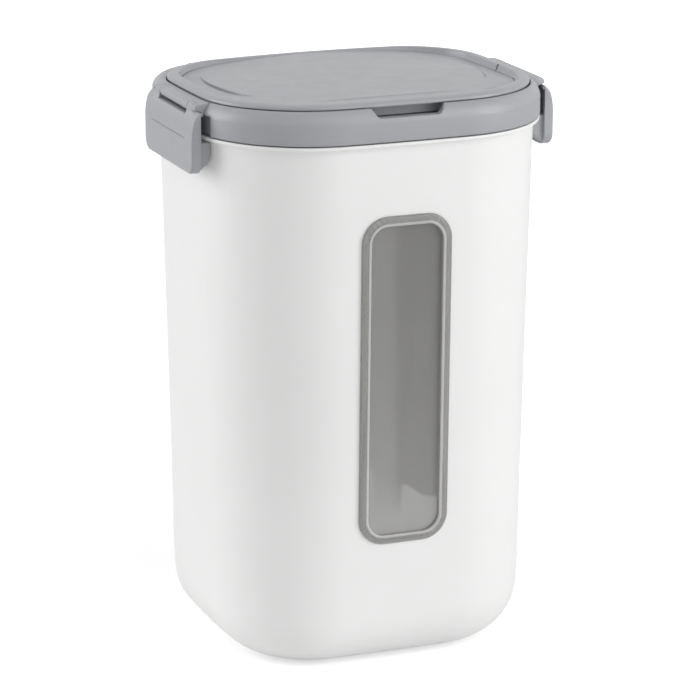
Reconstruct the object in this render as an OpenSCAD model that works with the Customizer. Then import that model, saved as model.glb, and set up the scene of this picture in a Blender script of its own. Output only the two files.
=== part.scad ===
// Rice bin with a flip lid: a tapered bin with a window, a lid frame held by two side latches,
// and a flap hinged along the back of the lid. Millimetres, +Z up, base centre at the origin.

/* [Plan] */
// Width of the lid skirt, side to side
lid_w = 203.6; // [190:1:220]
// Depth of the lid skirt, front to back
lid_d = 179; // [168:1:196]
// Radius of the two front corners
front_r = 68; // [60:1:72]
// Radius of the two back corners
back_r = 48; // [44:1:54]
// How far the front and back faces bow out
face_bow = 4.7; // [3:0.1:7]
// How far the two side faces bow out
side_bow = 5; // [3:0.1:7]

/* [Bin] */
// Height of the top of the bin's flange
bin_h = 306; // [260:1:360]
// Wall of the bin
bin_wall = 2.4; // [2:0.1:3]
// Floor of the bin
floor_t = 2.6; // [2:0.1:4]
// Overhang of the flange past the wall
flange_out = 3.5; // [2.5:0.1:4.5]
// Thickness of the flange
flange_t = 2.3; // [1.8:0.1:3.5]
// How much further in the wall is at the base than at the flange
taper = 6.3; // [3:0.1:9]
// Radius of the rounded bottom edge
base_r = 33; // [22:1:33]
// Height of the foot ring below the floor
foot_h = 1.5; // [1:0.1:2.5]
// Width of the foot ring
foot_w = 4; // [3:0.5:6]
// Height of the mouth rim above the flange
rim_h = 7; // [5:0.5:8]

/* [Window] */
// Width of the window flange
window_w = 53.2; // [44:0.5:60]
// Height of the window flange
window_h = 189; // [150:1:200]
// Height of the window's bottom edge above the base
window_z = 75; // [60:1:85]
// Corner radius of the window flange
window_r = 15; // [10:0.5:20]
// Width of the flange around the pane
window_rim = 5; // [4:0.5:7]
// Thickness of the window flange
window_t = 2.4; // [1.8:0.1:3]
// Thickness of the pane
pane_t = 2; // [1.5:0.1:2.5]
// Depth of the seat for the window flange in the wall
seat_depth = 1; // [0.8:0.1:1.2]
// Thickness of the seal under the window flange
window_seal_t = 0.5; // [0.3:0.1:0.8]

/* [Lid frame] */
// Gap between the flange and the skirt
skirt_gap = 0.7; // [0.4:0.1:1.2]
// Height of the skirt and shoulder, to the seam around the flap
frame_h = 18.2; // [17:0.1:21]
// Wall of the skirt
skirt_t = 2.2; // [1.8:0.1:2.6]
// Width of the rounded shoulder
shoulder_w = 5; // [4:0.1:6]
// Height of the rounded shoulder
shoulder_h = 8; // [6:0.5:9]
// Thickness of the deck under the flap
deck_t = 2.2; // [1.8:0.1:2.8]
// Depth of the seat for the flap, from the seam to the deck
flap_seat = 6.6; // [6:0.1:7.5]
// Thickness of the plug ring that enters the bin's mouth
plug_t = 2; // [1.6:0.1:2.6]
// Depth of the plug ring below the top of the bin's rim
plug_depth = 7; // [5:0.5:9]
// Margin of the deck between the flap's outline and the pouring mouth
mouth_margin = 11; // [10:0.5:14]
// Depth of the lip around the pouring mouth
mouth_lip = 6; // [4:0.5:8]
// Half width of the finger recess at the seam
recess_half = 22; // [17:0.5:26]
// Width of each sloping end of the finger recess
recess_end = 3.6; // [2.6:0.1:5]
// Height of the finger recess
recess_h = 5.2; // [4.8:0.1:5.6]

/* [Flap] */
// Gap of the seam around the flap
seam_gap = 0.6; // [0.4:0.1:1]
// Distance of the flap's back edge in front of the skirt's back face
flap_back_inset = 13; // [12:0.5:15]
// Height of the flap's rim above the seam
rim_rise = 3; // [2:0.1:4]
// Width of the flap's rim
rim_w = 7; // [6:0.5:9]
// How much lower the lid's top is at the back than at the front
rim_fall = 2; // [0:0.1:2.4]
// How much further the lid's top falls at its back corners
side_fall = 1.6; // [0:0.1:2]
// Depth of the centre panel below the front of the rim
panel_depth = 2.2; // [1.8:0.1:2.4]
// How much lower the panel would be at the lid's widest point than in the middle
panel_fall = 2; // [1:0.1:2.2]
// Width of the channel on each side of the panel
channel_w = 10; // [7:0.5:12]
// Depth of the channel below the panel
channel_depth = 1; // [0.6:0.1:1.2]
// Wall of the flap
flap_wall = 2.2; // [1.8:0.1:2.6]
// Thickness of the flap liner
liner_t = 1.6; // [1.4:0.1:1.8]

/* [Hinge] */
// Radius of the flap's hinge pins
hinge_pin_r = 1; // [0.9:0.1:1.1]
// Radius of the hinge barrels
hinge_barrel_r = 2.2; // [2:0.1:2.5]
// Distance of each hinge from the middle of the lid
hinge_x = 46; // [35:1:52]
// Length of the flap's barrel at each hinge
hinge_len = 13; // [9:0.5:18]
// Length of each knuckle on the lid frame
knuckle_len = 6; // [4:0.5:9]

/* [Latches] */
// Width of a latch
latch_w = 79; // [70:1:82]
// Height of a latch below its pivot
latch_drop = 35.5; // [33:0.1:38]
// Distance of the latch's outer face from the skirt's widest point
latch_out = 6.6; // [6:0.1:8]
// Thickness of the latch plate
latch_t = 2.2; // [1.8:0.1:2.6]
// Radius of the latch's bottom corners
latch_corner = 7; // [4:0.5:9]
// Radius of the latch pins
latch_pin_r = 1; // [0.8:0.1:1.1]
// Radius of the latch's barrels and of the eave that carries them
latch_barrel_r = 3; // [2.8:0.1:3.2]
// Length of each of the latch's two barrels
latch_barrel_len = 8.2; // [6:0.2:10]
// Length of the eave that carries a latch
eave_len = 70; // [60:1:72]
// Gap between the hook and the underside of the flange
hook_gap = 1.1; // [0.9:0.1:1.5]
// Width of the hook
hook_w = 74; // [60:1:74]

/* [Hidden] */

$fn = 48;
eps = 0.01;
// fits and clearances
pin_gap = 0.05;      // radial gap of a pin in its bore
part_gap = 0.4;      // gap between moving faces
rim_gap = 0.9;       // gap between the mouth rim and the plug ring
gasket_gap = 0.3;    // gap over a gasket that its bin or deck closes on
reach = 20;          // how far a cut runs past what it cuts

// plan of the lid skirt, the outline that every other outline is offset from
half_w = lid_w / 2;
half_d = lid_d / 2;
face_r = (half_w * half_w + face_bow * face_bow) / (2 * face_bow);
side_r = (half_d * half_d + side_bow * side_bow) / (2 * side_bow);
steps_side = 4;
steps_corner = 10;
steps_face = 5;

// centre of the corner arc that runs into the side arc and the face arc of one quadrant
function corner_centre(a, b, r, rf, rs) =
    let (px = 0, py = b - rf, qx = a - rs, qy = 0,
         r1 = rf - r, r2 = rs - r,
         dx = qx - px, dy = qy - py, dist = sqrt(dx * dx + dy * dy),
         k = (r1 * r1 - r2 * r2 + dist * dist) / (2 * dist),
         h = sqrt(r1 * r1 - k * k))
    [px + (k * dx + h * dy) / dist, py + (k * dy - h * dx) / dist];

// points of one quadrant, from the middle of the side to the middle of the face
function quadrant(a, b, r, rf, rs) =
    let (c = corner_centre(a, b, r, rf, rs),
         t_side = atan2(c[1], c[0] - (a - rs)),
         t_face = atan2(c[1] - (b - rf), c[0]))
    concat(
        [for (i = [0 : steps_side - 1]) let (t = t_side * i / steps_side)
            [a - rs + rs * cos(t), rs * sin(t)]],
        [for (i = [0 : steps_corner - 1]) let (t = t_side + (t_face - t_side) * i / steps_corner)
            [c[0] + r * cos(t), c[1] + r * sin(t)]],
        [for (i = [0 : steps_face]) let (t = t_face + (90 - t_face) * i / steps_face)
            [rf * cos(t), b - rf + rf * sin(t)]]);

function reversed(list) = [for (i = [len(list) - 1 : -1 : 0]) list[i]];
function flip_x(list) = [for (p = list) [-p[0], p[1]]];
function flip_y(list) = [for (p = list) [p[0], -p[1]]];
function inner(list) = [for (i = [1 : len(list) - 1]) list[i]];
function but_last(list) = [for (i = [0 : len(list) - 2]) list[i]];

// closed outline, d inside the skirt; back_in moves the back face further in
function outline(d, back_in = 0, back_corner = back_r) =
    let (least_r = 1.5,
         back_corner_r = max(back_corner - d, least_r),
         front_corner_r = max(front_r - d, least_r),
         back = quadrant(half_w - d, half_d - back_in - d, back_corner_r, face_r - d, side_r - d),
         front = quadrant(half_w - d, half_d - d, front_corner_r, face_r - d, side_r - d))
    concat(back, inner(reversed(flip_x(back))), inner(flip_x(flip_y(front))),
           but_last(inner(reversed(flip_y(front)))));

// the flap's own outline, measured in from its edge
flap_d = shoulder_w + 0.5 + seam_gap;
flap_back_r = 50;
function flap_outline(d) = outline(flap_d + d, flap_back_inset - flap_d, flap_back_r);

function at_z(points, z) = [for (p = points) [p[0], p[1], z]];
// fall of the lid's top: it grows to the back, and to the sides
function fall(p) = (p[1] + half_d) / lid_d * (rim_fall + side_fall * pow(p[0] / half_w, 2));
function sinking(points, z, share = 1) = [for (p = points) [p[0], p[1], z - share * fall(p)]];

// solid lofted through rings of equal length; closed joins the last ring to the first
module loft(rings, closed = false) {
    n = len(rings[0]);
    m = len(rings);
    last = closed ? m - 1 : m - 2;
    sides = [for (j = [0 : last]) for (i = [0 : n - 1])
        let (a = j * n + i, b = j * n + (i + 1) % n, k = ((j + 1) % m) * n)
        [a, k + i, k + (i + 1) % n, b]];
    caps = closed ? [] : [[for (i = [0 : n - 1]) i], [for (i = [n - 1 : -1 : 0]) (m - 1) * n + i]];
    polyhedron(points = [for (r = rings) for (p = r) p], faces = concat(sides, caps), convexity = 8);
}

// upright ring between two outlines
module band(outer, inner_edge, z0, z1) {
    translate([0, 0, z0])
        linear_extrude(z1 - z0)
            difference() {
                polygon(outer);
                polygon(inner_edge);
            }
}

// rectangle with round corners, centred
module round_rect(w, h, r) {
    square([w - 2 * r, h], center = true);
    square([w, h - 2 * r], center = true);
    for (x = [-1, 1], y = [-1, 1])
        translate([x * (w / 2 - r), y * (h / 2 - r)])
            circle(r);
}

// the same, larger by the given amount all round
module grown_rect(w, h, r, by) {
    round_rect(w + 2 * by, h + 2 * by, r + by);
}

// rod along X, centred on x
module rod_x(x, y, z, r, length) {
    translate([x - length / 2, y, z])
        rotate([0, 90, 0])
            cylinder(r = r, h = length);
}

// rod along Y, centred on y
module rod_y(x, y, z, r, length) {
    translate([x, y + length / 2, z])
        rotate([90, 0, 0])
            cylinder(r = r, h = length);
}

// profile in X and Z, extruded along Y about y
module slab_y(y, length) {
    translate([0, y + length / 2, 0])
        rotate([90, 0, 0])
            linear_extrude(length)
                children();
}

/* ---- bin ---- */
flange_in = 0.3;                          // the flange stops just inside the skirt
wall_d = flange_in + flange_out;          // wall under the flange
base_d = wall_d + taper;                  // wall above the rounded bottom edge
foot_d = base_d + base_r;                 // contact edge of the foot ring
rim_d = skirt_t + 2.4;                    // outer face of the mouth rim
rim_t = 2.2;
rim_top = bin_h + rim_h;
inner_top_d = rim_d + rim_t;
inner_r = base_r - bin_wall;
floor_z = foot_h + floor_t;
floor_angle = acos((base_r - floor_z) / inner_r);   // the inner edge arc starts here, at the floor
edge_steps = 7;
neck_z = bin_h - flange_t - 4;            // the rim's inner face meets the wall's below here

bin_rings = concat(
    [at_z(outline(foot_d + foot_w + 0.4), foot_h),
     at_z(outline(foot_d + foot_w), 0)],
    [for (i = [0 : edge_steps]) let (t = 90 * i / edge_steps)
        at_z(outline(base_d + base_r - base_r * sin(t)), base_r - base_r * cos(t))],
    [at_z(outline(wall_d), bin_h - flange_t - 0.6),
     at_z(outline(wall_d - 0.6), bin_h - flange_t),
     at_z(outline(flange_in + 0.3), bin_h - flange_t),
     at_z(outline(flange_in), bin_h - flange_t + 0.4),
     at_z(outline(flange_in), bin_h - 0.3),
     at_z(outline(flange_in + 0.3), bin_h),
     at_z(outline(rim_d), bin_h),
     at_z(outline(rim_d), rim_top - 0.5),
     at_z(outline(rim_d + 0.5), rim_top),
     at_z(outline(inner_top_d - 0.5), rim_top),
     at_z(outline(inner_top_d), rim_top - 0.5),
     at_z(outline(inner_top_d), neck_z)],
    [for (i = [edge_steps : -1 : 0]) let (t = floor_angle + (90 - floor_angle) * i / edge_steps)
        at_z(outline(base_d + base_r - inner_r * sin(t)), base_r - inner_r * cos(t))]);

// the front wall leans by the taper: frame of the window on the wall's outer face
lean = atan(taper / (bin_h - flange_t - base_r));
window_mid = window_z + window_h / 2;
function wall_d_at(z) = wall_d + taper * (bin_h - flange_t - z) / (bin_h - flange_t - base_r);
module on_wall() {
    translate([0, -(half_d - wall_d_at(window_mid)), window_mid])
        rotate([90 + lean, 0, 0])
            children();
}
opening_gap = 0.3;
window_lip = 1.4;                         // wall of the panel between its flange and its pane
opening_w = window_w - 2 * window_rim;
opening_h = window_h - 2 * window_rim;
opening_r = window_r - window_rim;

module bin_body() {
    color("#f2f2f0")
        difference() {
            loft(bin_rings);
            on_wall()
                translate([0, 0, -seat_depth])
                    linear_extrude(reach)
                        grown_rect(window_w, window_h, window_r, opening_gap);
            on_wall()
                translate([0, 0, -reach])
                    linear_extrude(2 * reach)
                        grown_rect(opening_w, opening_h, opening_r, opening_gap);
        }
}

flange_face = window_seal_t - seat_depth;  // underside of the window flange, from the wall's face
pane_face = -seat_depth - 0.2;             // front of the pane, from the wall's face
module window_panel() {
    color([0.5, 0.5, 0.49, 0.6])
        on_wall()
            difference() {
                union() {
                    translate([0, 0, flange_face])
                        linear_extrude(window_t)
                            round_rect(window_w, window_h, window_r);
                    translate([0, 0, pane_face - pane_t])
                        linear_extrude(pane_t + flange_face - pane_face + eps)
                            round_rect(opening_w, opening_h, opening_r);
                }
                translate([0, 0, pane_face])
                    linear_extrude(20)
                        grown_rect(opening_w, opening_h, opening_r, -window_lip);
            }
}
module window_seal() {
    color("#d9d9d6")
        on_wall()
            translate([0, 0, -seat_depth])
                linear_extrude(window_seal_t)
                    difference() {
                        round_rect(window_w - 1, window_h - 1, window_r - 0.5);
                        round_rect(opening_w + 1, opening_h + 1, opening_r + 0.5);
                    }
}

/* ---- lid frame ---- */
skirt_z = bin_h + skirt_gap;
seam_z = skirt_z + frame_h;
deck_z = seam_z - flap_seat;              // top of the deck
deck_under = deck_z - deck_t;
plug_d = inner_top_d + rim_gap;
plug_z = rim_top - plug_depth;
frame_in = shoulder_w + 0.5;              // inner edge of the shoulder at the seam
mouth_d = mouth_margin;                   // from the flap's edge
shoulder_steps = 6;

flap_front = -(half_d - flap_d);
flap_back = half_d - flap_back_inset;

// pivots
hinge_back = 4.5;                         // the hinge's axis behind the flap's back edge
hinge_y = flap_back + hinge_back;
hinge_z = deck_z + part_gap + hinge_barrel_r;
bay_y = hinge_y + hinge_barrel_r + part_gap;
bay_side = 8;                             // hinge trough past the outer knuckles
bay_half = hinge_x + hinge_len / 2 + knuckle_len + bay_side;
ledge_h = 3.8;
back_z = deck_z + ledge_h;                // top of the frame behind the flap
pivot_x = half_w + 0.2;
pivot_z = seam_z - latch_barrel_r - 1.4;
eave_end = 4;                             // eave past the outer end of each barrel notch
lug_end = eave_len / 2 - eave_end;
lug_mid = lug_end - latch_barrel_len - 2 * part_gap;
latch_pin_len = eave_len - 2;

// one closed section carries the skirt, shoulder, deck, mouth lip and plug ring
frame_rings = concat(
    [at_z(outline(skirt_t), skirt_z + 0.3),
     at_z(outline(skirt_t - 0.3), skirt_z),
     at_z(outline(0.4), skirt_z),
     at_z(outline(0), skirt_z + 0.4)],
    [for (i = [0 : shoulder_steps]) let (t = 90 * i / shoulder_steps)
        sinking(outline(shoulder_w - shoulder_w * cos(t)),
                seam_z - shoulder_h + shoulder_h * sin(t), sin(t))],
    [sinking(flap_outline(-seam_gap), seam_z - 0.1),
     at_z(flap_outline(-seam_gap), deck_z),
     at_z(flap_outline(mouth_d), deck_z),
     at_z(flap_outline(mouth_d), deck_z - mouth_lip),
     at_z(flap_outline(mouth_d - plug_t), deck_z - mouth_lip),
     at_z(flap_outline(mouth_d - plug_t), deck_under),
     at_z(outline(plug_d + plug_t), deck_under),
     at_z(outline(plug_d + plug_t), plug_z),
     at_z(outline(plug_d), plug_z),
     at_z(outline(plug_d), deck_under),
     at_z(outline(skirt_t), deck_under)]);

// everything above the lid's sloping top, on the right side
module above_top() {
    top_slope = atan((rim_fall + side_fall) / lid_d);
    translate([half_w - shoulder_w - 10, -half_d, seam_z - 0.1])
        rotate([-top_slope, 0, 0])
            cube([2 * reach, lid_d, reach]);
}

// rounded eave that carries a latch, on the right side
module eave() {
    difference() {
        union() {
            rod_y(pivot_x, 0, pivot_z, latch_barrel_r, eave_len);
            slab_y(0, eave_len)
                polygon([[half_w - shoulder_w + 0.2, pivot_z - 1], [pivot_x, pivot_z - latch_barrel_r],
                         [pivot_x, pivot_z + latch_barrel_r], [half_w - shoulder_w + 0.2, seam_z - 0.1]]);
        }
        above_top();
    }
}

// room for the latch's barrels, and the blind bore of its pin
module barrel_notches() {
    mid = (lug_mid + lug_end) / 2;
    notch = lug_end - lug_mid;
    for (s = [-1, 1]) {
        rod_y(pivot_x, s * mid, pivot_z, latch_barrel_r + part_gap, notch);
        translate([pivot_x, s * mid - notch / 2, pivot_z - latch_barrel_r - part_gap])
            cube([reach, notch, reach]);
    }
    rod_y(pivot_x, 0, pivot_z, latch_pin_r + pin_gap, latch_pin_len + 0.4);
}

module both_sides() {
    children();
    mirror([1, 0, 0])
        children();
}

module hinge_knuckles() {
    for (s = [-1, 1], k = [-1, 1]) {
        x = s * hinge_x + k * (hinge_len / 2 + part_gap + knuckle_len / 2);
        difference() {
            union() {
                rod_x(x, hinge_y, hinge_z, hinge_barrel_r, knuckle_len);
                translate([x - knuckle_len / 2, hinge_y - hinge_barrel_r + 0.1, deck_z - 1])
                    cube([knuckle_len, 2 * hinge_barrel_r - 0.2, hinge_z - deck_z + 1]);
            }
            rod_x(x, hinge_y, hinge_z, hinge_pin_r + pin_gap, knuckle_len + 1);
        }
    }
}

recess_in = 6;                            // the recess runs this far in under the flap
module finger_recess() {
    floor_half = recess_half - recess_end;
    depth = flap_d + recess_in;
    translate([0, -half_d + depth, 0])
        rotate([90, 0, 0])
            linear_extrude(depth + reach)
                polygon([[-floor_half, seam_z - recess_h], [floor_half, seam_z - recess_h],
                         [recess_half, seam_z + 1], [-recess_half, seam_z + 1]]);
}

// behind the flap the frame is cut down to a low ledge, with a trough for the hinges
module hinge_bay() {
    translate([-bay_half, flap_back + seam_gap - 4, deck_z - 0.2])
        cube([2 * bay_half, bay_y - flap_back - seam_gap + 4, reach]);
    translate([-half_w, flap_back + seam_gap + 0.1, back_z])
        cube([lid_w, half_d, reach]);
}

module lid_frame() {
    color("#a9abaf") {
        difference() {
            union() {
                loft(frame_rings, closed = true);
                both_sides()
                    eave();
            }
            both_sides()
                barrel_notches();
            finger_recess();
            hinge_bay();
        }
        hinge_knuckles();
    }
}

module lid_gasket() {
    color("#e4e4e0")
        band(outline(skirt_t + 0.4), outline(plug_d - 0.3), rim_top + gasket_gap, deck_under);
}

/* ---- flap ---- */
crest_z = seam_z + rim_rise;
cover_foot = deck_z + 0.6;
cover_under = seam_z - 3.2;               // underside of the cover, on the liner
panel_z = crest_z - panel_depth;
channel_mid = 5;                          // the channels are deepest here, along the depth
channel_half = 42;                        // and run out this far from there
// rim section: distance in from the flap's edge, height over the seam as a share of rim_rise
rim_section = [[0, 0.12], [0.35, 0.42], [1.2, 0.68], [2.6, 0.88], [4.2, 1]];

// height of the crowned panel, and of the channel beside it
function panel_at(p) = panel_z - panel_fall * pow(p[0] / half_w, 2);
function channel_at(p) =
    panel_at(p) - channel_depth * max(0, 1 - pow((p[1] - channel_mid) / channel_half, 2));
function on_panel(points, k = 1) = [for (p = points) [k * p[0], k * p[1], panel_at(k * p)]];
function in_channel(points, up = 0) = [for (p = points) [p[0], p[1], channel_at(p) + up]];
panel_edge = flap_outline(rim_w + channel_w);

cover_rings = concat(
    [at_z(flap_outline(flap_wall), cover_under),
     at_z(flap_outline(flap_wall), cover_foot),
     at_z(flap_outline(0.3), cover_foot),
     at_z(flap_outline(0), cover_foot + 0.3)],
    [for (s = rim_section) sinking(flap_outline(s[0]), seam_z + s[1] * rim_rise)],
    [sinking(flap_outline(rim_w - 1.4), crest_z - 0.1),
     sinking(flap_outline(rim_w - 0.6), crest_z - 0.4),
     in_channel(flap_outline(rim_w + 0.4), 0.2),
     in_channel(flap_outline(rim_w + 1)),
     in_channel(flap_outline(rim_w + channel_w - 0.4)),
     on_panel(panel_edge),
     on_panel(panel_edge, 0.75),
     on_panel(panel_edge, 0.5),
     on_panel(panel_edge, 0.25),
     on_panel(panel_edge, 0.02)]);

module flap_barrels() {
    for (s = [-1, 1]) {
        rod_x(s * hinge_x, hinge_y, hinge_z, hinge_barrel_r, hinge_len);
        translate([s * hinge_x - hinge_len / 2, flap_back - flap_wall, hinge_z - hinge_barrel_r + 0.4])
            cube([hinge_len, hinge_y - flap_back + flap_wall, 2 * hinge_barrel_r - 0.6]);
    }
}

module flap_cover() {
    color("#aeb0b4")
        difference() {
            union() {
                loft(cover_rings);
                flap_barrels();
            }
            for (s = [-1, 1])
                rod_x(s * hinge_x, hinge_y, hinge_z, hinge_pin_r + pin_gap, hinge_len + 1);
            // the front wall is open over the finger recess
            translate([-recess_half, flap_front - 1, cover_foot - 1])
                cube([2 * recess_half, flap_wall + 5, seam_z - 0.7 - cover_foot + 1]);
        }
}

liner_d = flap_wall + 4;
liner_z = cover_under - liner_t;
liner_plug_d = mouth_d + 1;
module flap_liner() {
    color("#b9bbbe") {
        translate([0, 0, liner_z])
            linear_extrude(liner_t)
                polygon(flap_outline(liner_d));
        band(flap_outline(liner_plug_d), flap_outline(liner_plug_d + plug_t),
             deck_z - mouth_lip, liner_z + eps);
    }
}

module flap_gasket() {
    color("#e4e4e0")
        band(flap_outline(liner_d + 1), flap_outline(mouth_d - 0.6), deck_z + gasket_gap, liner_z);
}

module hinge_pin(s) {
    color("#9a9c9f")
        rod_x(s * hinge_x, hinge_y, hinge_z, hinge_pin_r, hinge_len + 2 * part_gap + 2 * knuckle_len);
}

/* ---- latches, drawn for the right side ---- */
latch_x = half_w + latch_out;
latch_foot = pivot_z - latch_drop;
latch_inner = latch_x - latch_t;
return_in = half_w + 0.6;                 // inner edge of the latch's side returns
hook_top = bin_h - flange_t - hook_gap;
slot_top = pivot_z - latch_barrel_r - part_gap;  // top edge of the plate under the eave
end_top = pivot_z - 0.7;                  // top edge of the plate past the eave's ends
latch_end = eave_len / 2 + part_gap;
score_half = 29;                          // score line across the plate
score_h = 0.6;
score_z = bin_h - 2.4;
hook_clear = 0.5;                         // gap between the hook and the bin's wall
hook_in = 12;                             // the hook's slab reaches this far in before it is cut
hook_rise = 7;                            // its underside slopes up by this
room_x = half_w - shoulder_w - 3;

module latch_outer_profile() {
    polygon([[return_in, pivot_z], [latch_x - 5.5, pivot_z], [latch_x - 4.7, pivot_z - 1.2],
             [latch_x - 3, pivot_z - 3.2], [latch_x - 1.4, pivot_z - 5.8], [latch_x - 0.5, pivot_z - 9.6],
             [latch_x, pivot_z - 15.6], [latch_x, latch_foot + 4], [latch_x - 0.4, latch_foot + 2],
             [latch_x - 1.4, latch_foot + 0.6], [latch_x - 3, latch_foot], [return_in + 0.6, latch_foot],
             [return_in, latch_foot + 3]]);
}
module latch_inner_profile() {
    polygon([[return_in - 1, latch_foot + latch_t], [latch_inner - 1, latch_foot + latch_t],
             [latch_inner, latch_foot + latch_t + 2], [latch_inner, pivot_z - 15.6],
             [latch_inner - 0.5, pivot_z - 9.6], [latch_inner - 1.4, pivot_z - 6.6],
             [latch_inner - 3, pivot_z - 5.3], [return_in - 1, pivot_z - 5.3]]);
}
// the plate's face swells out to the eave's face at the two barrels
module ear_profile() {
    polygon([[return_in, pivot_z - 5], [return_in, pivot_z], [pivot_x + latch_barrel_r - 0.02, pivot_z],
             [pivot_x + latch_barrel_r, pivot_z - 1.2], [latch_x - 3.1, pivot_z - 2.4],
             [latch_x - 2.6, pivot_z - 3.7], [latch_x - 2, pivot_z - 4.9]]);
}
// face of the plate, with its round bottom corners
module latch_face() {
    translate([half_w - reach, 0, 0])
        rotate([90, 0, 90])
            linear_extrude(2 * reach) {
                translate([-latch_w / 2, latch_foot + latch_corner])
                    square([latch_w, latch_drop + reach]);
                translate([-latch_w / 2 + latch_corner, latch_foot])
                    square([latch_w - 2 * latch_corner, latch_drop]);
                for (s = [-1, 1])
                    translate([s * (latch_w / 2 - latch_corner), latch_foot + latch_corner])
                        circle(latch_corner);
            }
}
// clears the eave: above the slot the plate is left only at the barrels and at its two ends
module eave_room() {
    translate([room_x, -lug_mid - part_gap, slot_top])
        cube([2 * reach, 2 * (lug_mid + part_gap), reach]);
    for (s = [-1, 1]) {
        translate([room_x, s > 0 ? lug_end - part_gap : -latch_end, slot_top])
            cube([2 * reach, latch_end - lug_end + part_gap, reach]);
        translate([room_x, s > 0 ? latch_end : -latch_w, end_top])
            cube([2 * reach, latch_w - latch_end, reach]);
    }
}

module latch() {
    barrel_y = (lug_mid + lug_end) / 2;
    difference() {
        union() {
            intersection() {
                slab_y(0, latch_w)
                    latch_outer_profile();
                latch_face();
            }
            for (s = [-1, 1]) {
                rod_y(pivot_x, s * barrel_y, pivot_z, latch_barrel_r, latch_barrel_len);
                slab_y(s * barrel_y, latch_barrel_len)
                    ear_profile();
            }
        }
        slab_y(0, latch_w - 2 * latch_t)
            latch_inner_profile();
        eave_room();
        above_top();
        rod_y(pivot_x, 0, pivot_z, latch_pin_r + pin_gap, latch_w);
        translate([latch_x - 0.4, -score_half, score_z])
            cube([2, 2 * score_half, score_h]);
    }
    // hook along the whole latch, shaped to the bin's wall
    difference() {
        slab_y(0, hook_w)
            polygon([[latch_inner + eps, hook_top], [half_w - hook_in, hook_top],
                     [half_w - hook_in, latch_foot + hook_rise], [return_in, latch_foot + 1.5],
                     [latch_inner + eps, latch_foot + 1]]);
        translate([0, 0, latch_foot - 5])
            linear_extrude(latch_drop)
                polygon(outline(wall_d - hook_clear));
    }
}

module latch_left() {
    color("#acaeb2")
        mirror([1, 0, 0])
            latch();
}
module latch_right() {
    color("#acaeb2")
        latch();
}
module latch_pin(s) {
    color("#9a9c9f")
        rod_y(s * pivot_x, 0, pivot_z, latch_pin_r, latch_pin_len);
}

bin_body();
window_panel();
window_seal();
lid_frame();
lid_gasket();
flap_cover();
flap_liner();
flap_gasket();
hinge_pin(-1);  // hinge_pin_left
hinge_pin(1);  // hinge_pin_right
latch_left();
latch_right();
latch_pin(-1);  // latch_pin_left
latch_pin(1);  // latch_pin_right
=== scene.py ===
from math import acos, asin, atan, atan2, ceil, copysign, cos, degrees, exp, hypot, pi, radians, sin, sqrt
import bpy
import bmesh
import numpy as np
from mathutils import Matrix, Vector


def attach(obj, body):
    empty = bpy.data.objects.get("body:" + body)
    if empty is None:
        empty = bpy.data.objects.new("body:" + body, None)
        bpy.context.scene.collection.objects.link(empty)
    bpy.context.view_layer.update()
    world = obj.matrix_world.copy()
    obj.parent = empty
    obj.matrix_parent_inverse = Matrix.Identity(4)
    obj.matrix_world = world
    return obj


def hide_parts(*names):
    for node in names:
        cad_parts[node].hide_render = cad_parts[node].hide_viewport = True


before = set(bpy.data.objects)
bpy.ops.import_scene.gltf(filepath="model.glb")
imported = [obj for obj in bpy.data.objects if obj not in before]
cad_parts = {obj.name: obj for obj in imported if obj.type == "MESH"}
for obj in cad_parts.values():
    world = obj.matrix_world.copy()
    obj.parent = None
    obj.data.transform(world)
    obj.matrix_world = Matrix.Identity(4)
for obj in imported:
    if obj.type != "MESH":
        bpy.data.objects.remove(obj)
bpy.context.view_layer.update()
print("frame loaded,", len(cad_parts), "nodes")

# plan: one outline that every wall of the bin and lid is an offset of (mm)
plan = {"halfWidth": 101.8, "halfDepth": 89.5, "frontRadius": 68.0, "backRadius": 48.0,
        "faceBow": 4.7, "sideBow": 5.0}
lidTop = {"seam": 324.9, "backFall": 2.0, "sideFall": 1.6}   # the lid's top sinks to the back
flapPlan = {"inset": 6.1, "backInset": 13.0, "backRadius": 50.0, "gap": 0.6}
mm = 0.001

faceR = (plan["halfWidth"] ** 2 + plan["faceBow"] ** 2) / (2 * plan["faceBow"])
sideR = (plan["halfDepth"] ** 2 + plan["sideBow"] ** 2) / (2 * plan["sideBow"])


def planArcs(halfWidth, depth, corner, face, side):
    # side, corner and face arc of one quadrant: (first normal angle, last one, centre, radius)
    sx, fy = halfWidth - side, depth - face
    r1, r2 = face - corner, side - corner
    dist = hypot(sx, fy)
    k = (r1 * r1 - r2 * r2 + dist * dist) / (2 * dist)
    h = sqrt(r1 * r1 - k * k)
    cx, cy = (k * sx - h * fy) / dist, fy + (-k * fy - h * sx) / dist
    tSide = atan2(cy, cx - sx)
    tFace = atan2(cy - fy, cx)
    return [(0.0, tSide, (sx, 0.0), side), (tSide, tFace, (cx, cy), corner),
            (tFace, pi / 2, (0.0, fy), face)]


def onArcs(arcs, t):
    for t0, t1, c, r in arcs:
        if t <= t1 + 1e-9:
            break
    return c[0] + r * cos(t), c[1] + r * sin(t)


def angleWhere(arcs, axis, value):
    lo, hi = 0.0, pi / 2
    for _ in range(40):
        mid = (lo + hi) / 2
        p = onArcs(arcs, mid)[axis]
        if (p < value) == (axis == 1):
            lo = mid
        else:
            hi = mid
    return (lo + hi) / 2


def spread(arcs, step, xs=(), ys=()):
    # normal angles about step mm apart, and the ones that pass the given x and y
    out = []
    for t0, t1, c, r in arcs:
        n = max(3, ceil(r * (t1 - t0) / step))
        out += [t0 + (t1 - t0) * i / n for i in range(n)]
    out.append(pi / 2)
    extra = [angleWhere(arcs, 0, x) for x in xs] + [angleWhere(arcs, 1, y) for y in ys]
    near = [t for t in out if all(abs(t - e) > 0.0009 for e in extra) or t in (0.0, pi / 2)]
    return sorted(near + extra)


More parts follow.
